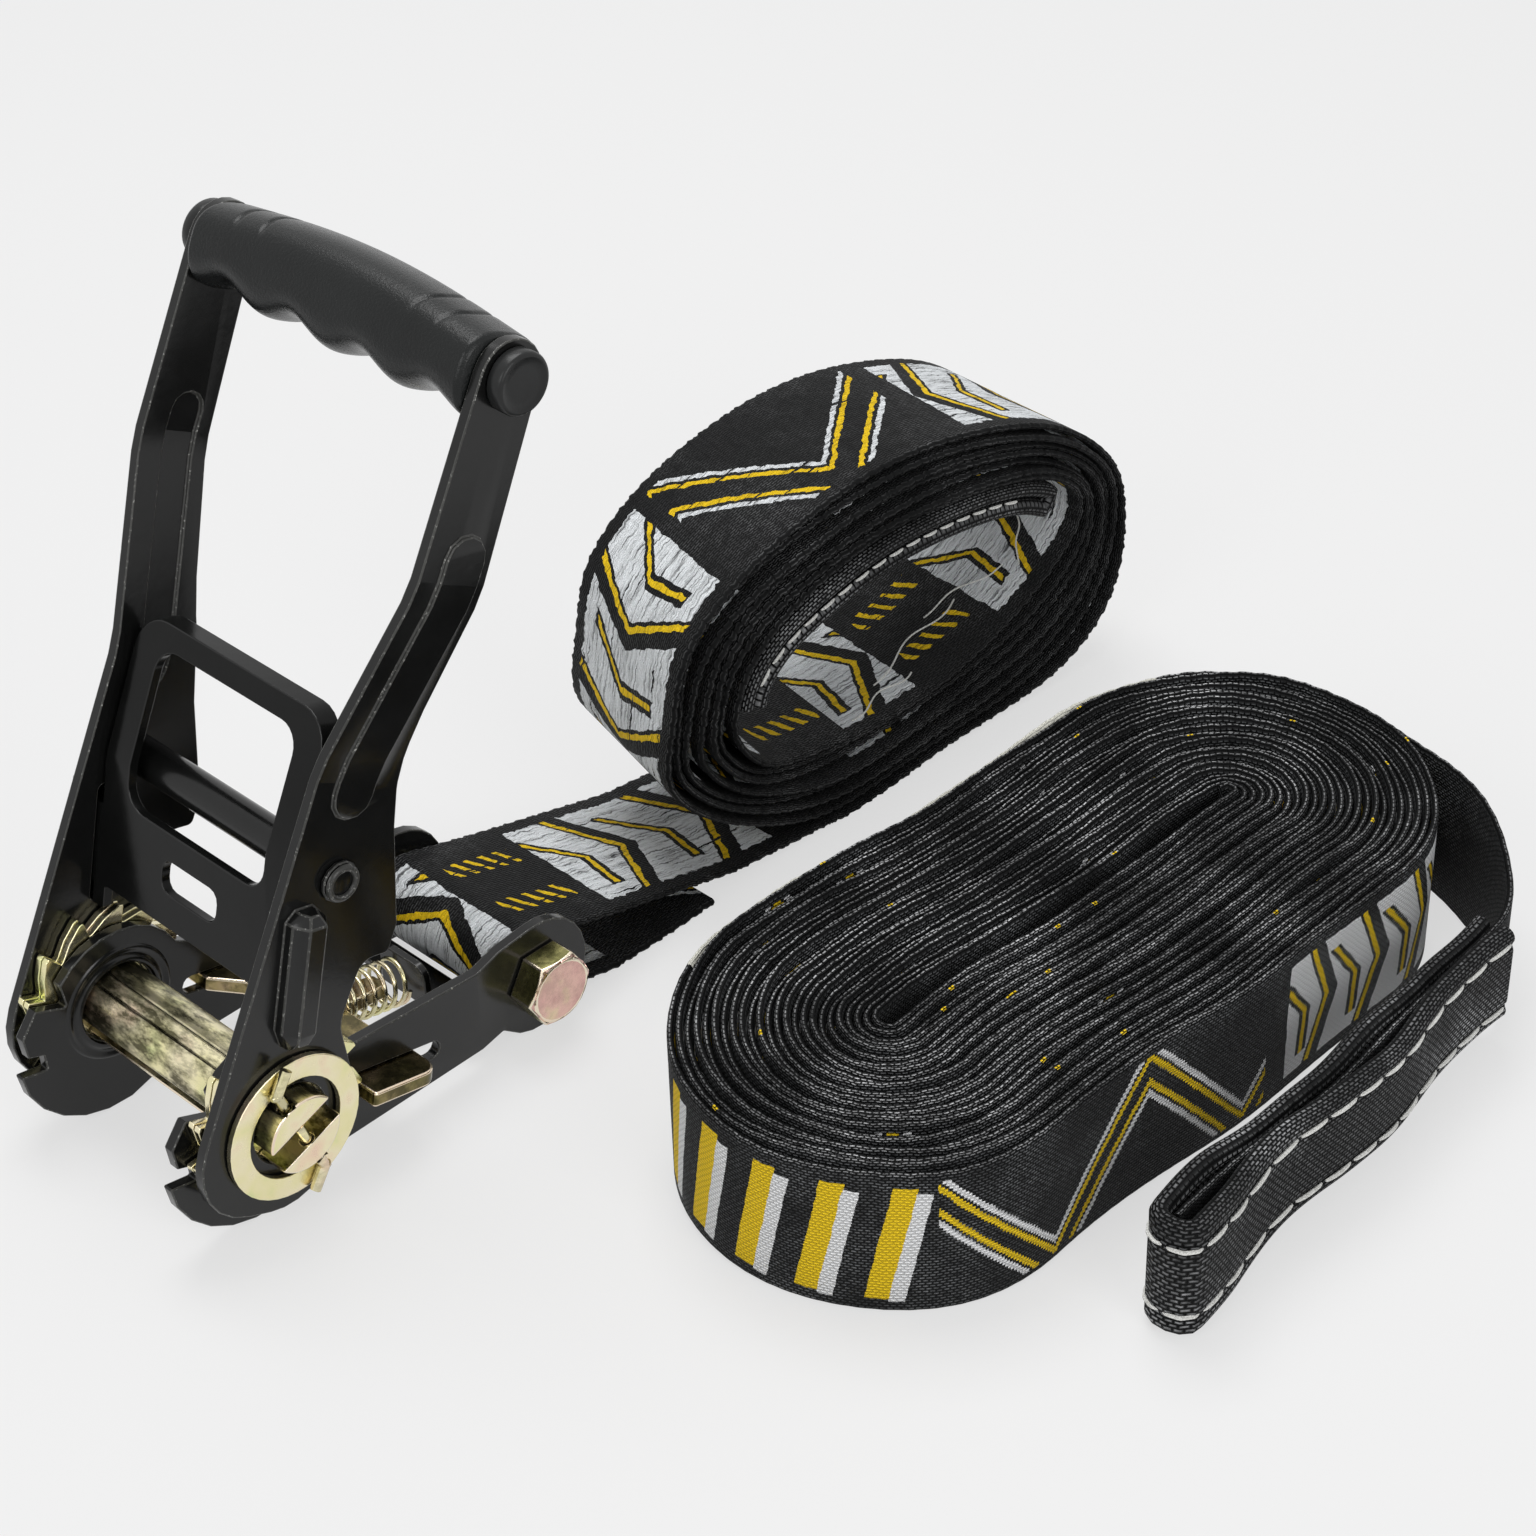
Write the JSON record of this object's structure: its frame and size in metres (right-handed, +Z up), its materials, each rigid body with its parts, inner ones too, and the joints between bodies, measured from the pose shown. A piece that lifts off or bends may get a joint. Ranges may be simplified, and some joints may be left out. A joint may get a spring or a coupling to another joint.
{
  "type": "slackline ratchet set",
  "caption": "Ratchet tensioner with swinging handle, slotted reel, two sliding pawls and a short rolled strap, with the long flat line rolled up beside it.",
  "frame": {"origin": "on the floor, straight below the middle of the reel's axis", "axes": "+X along the reel's axis to the near side, +Y from the reel to the strap bolt, +Z up"},
  "size_m": [0.2711, 0.3467, 0.2134],
  "materials": {
    "black_paint": "glossy black paint",
    "yellow_zinc": "yellow zinc plating with a faint rainbow",
    "grip_plastic": "matte black",
    "cap_plastic": "satin black",
    "bright_steel": "bright drawn steel",
    "black_webbing": "tightly woven black polyester",
    "black_sleeve": "coarse woven black sleeve"
  },
  "bodies": {
    "frame": {"frame_plate_near": "black_paint", "frame_plate_far": "black_paint", "frame_bridge": "black_paint", "strap_bolt": "yellow_zinc", "bolt_nut": "yellow_zinc", "bolt_spacer": "bright_steel", "bolt_washer": "yellow_zinc", "ratchet_strap": "black_webbing", "ratchet_strap_sleeve": "black_sleeve", "lock_spring": "yellow_zinc", "long_line": "black_webbing", "line_sleeve": "black_sleeve"},
    "lock_pawl": {"lock_pawl": "yellow_zinc"},
    "reel": {"reel_half_a": "yellow_zinc", "reel_half_b": "yellow_zinc", "wheel_near_inner": "yellow_zinc", "wheel_near_outer": "yellow_zinc", "wheel_far_inner": "yellow_zinc", "wheel_far_outer": "yellow_zinc", "reel_washer_near": "yellow_zinc", "reel_washer_far": "yellow_zinc", "cotter_near": "bright_steel", "cotter_far": "bright_steel"},
    "handle": {"handle_plate_near": "black_paint", "handle_plate_far": "black_paint", "handle_tube": "black_paint", "handle_rivet": "black_paint", "grip": "grip_plastic", "grip_tube": "bright_steel", "grip_cap_near": "cap_plastic", "grip_cap_far": "cap_plastic"},
    "drive_pawl": {"drive_pawl": "black_paint"}
  },
  "joints": [
    {"name": "handle_swing", "type": "hinge", "parent": "frame", "child": "handle", "pos_m": [0, 0, 0.03], "axis": [1, 0, 0], "range_deg": [-30, 90]},
    {"name": "reel_spin", "type": "hinge", "parent": "frame", "child": "reel", "pos_m": [0, 0, 0.03], "axis": [1, 0, 0], "continuous": true},
    {"name": "lock_pawl_slide", "type": "slide", "parent": "frame", "child": "lock_pawl", "axis": [0, 0.977, -0.213], "range_m": [0, 0.003], "stiffness_N_per_m": 600, "springref_m": -0.003, "deforming": ["lock_spring"]},
    {"name": "drive_pawl_slide", "type": "slide", "parent": "handle", "child": "drive_pawl", "axis": [0, 0.2504, 0.9681], "range_m": [0, 0.003], "stiffness_N_per_m": 600, "springref_m": -0.003}
  ]
}
